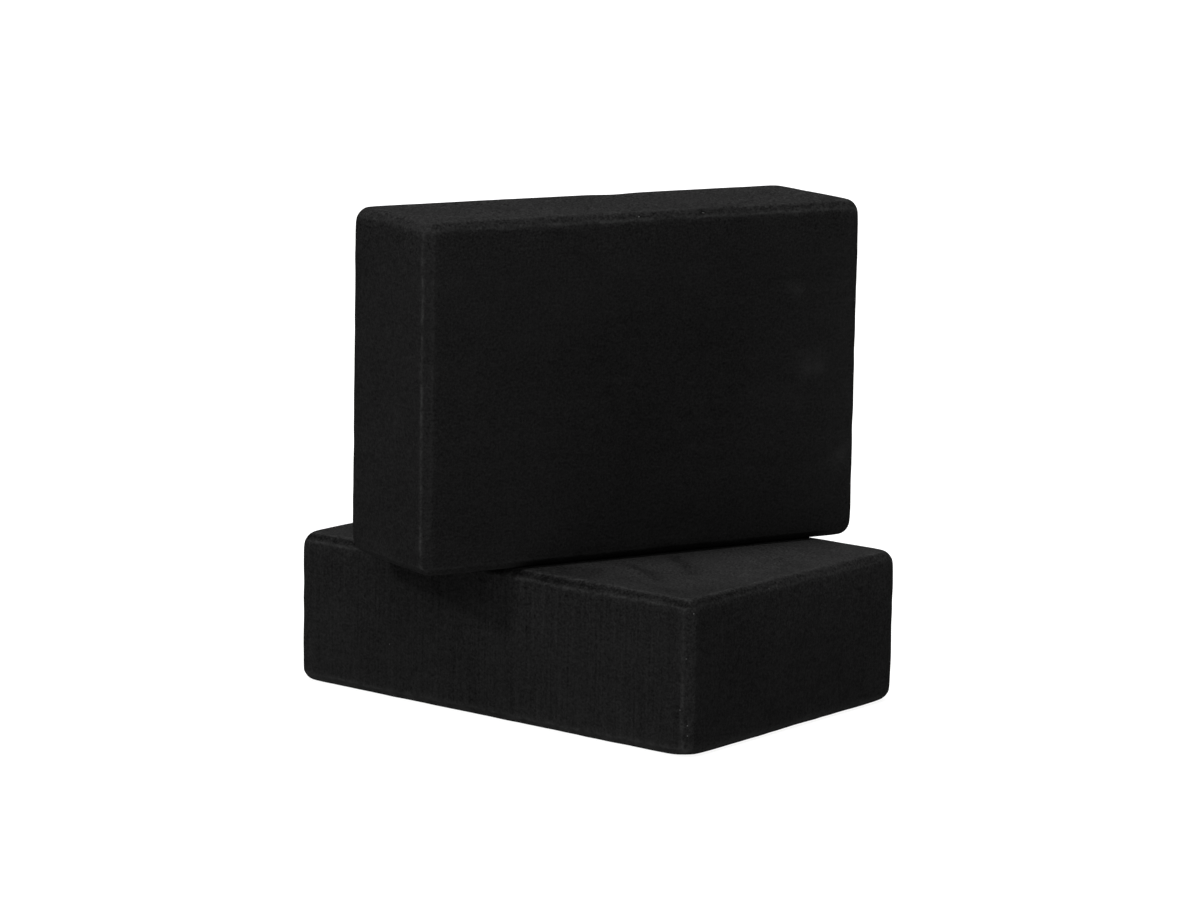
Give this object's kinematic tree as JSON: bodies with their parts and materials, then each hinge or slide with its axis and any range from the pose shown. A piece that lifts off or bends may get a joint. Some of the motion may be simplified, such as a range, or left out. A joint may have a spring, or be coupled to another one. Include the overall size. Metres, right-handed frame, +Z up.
{
  "type": "stacked foam exercise blocks",
  "caption": "Black closed-cell foam exercise blocks, stacked: the lower one lies flat and the upper one stands on its long narrow side across it.",
  "frame": {"origin": "centre of the lower block's underside, on the surface that the stack stands on", "axes": "+X along the lower block's length, +Y across its width, +Z up"},
  "size_m": [0.23, 0.2376, 0.229],
  "materials": {
    "eva_foam": "matte"
  },
  "bodies": {
    "lower_block": {"lower_block": "eva_foam"},
    "upper_block": {"upper_block": "eva_foam"}
  },
  "joints": [
    {"name": "upper_block_lift", "type": "slide", "parent": "lower_block", "child": "upper_block", "axis": [0, 0, 1], "range_m": [0, 0.15]}
  ]
}
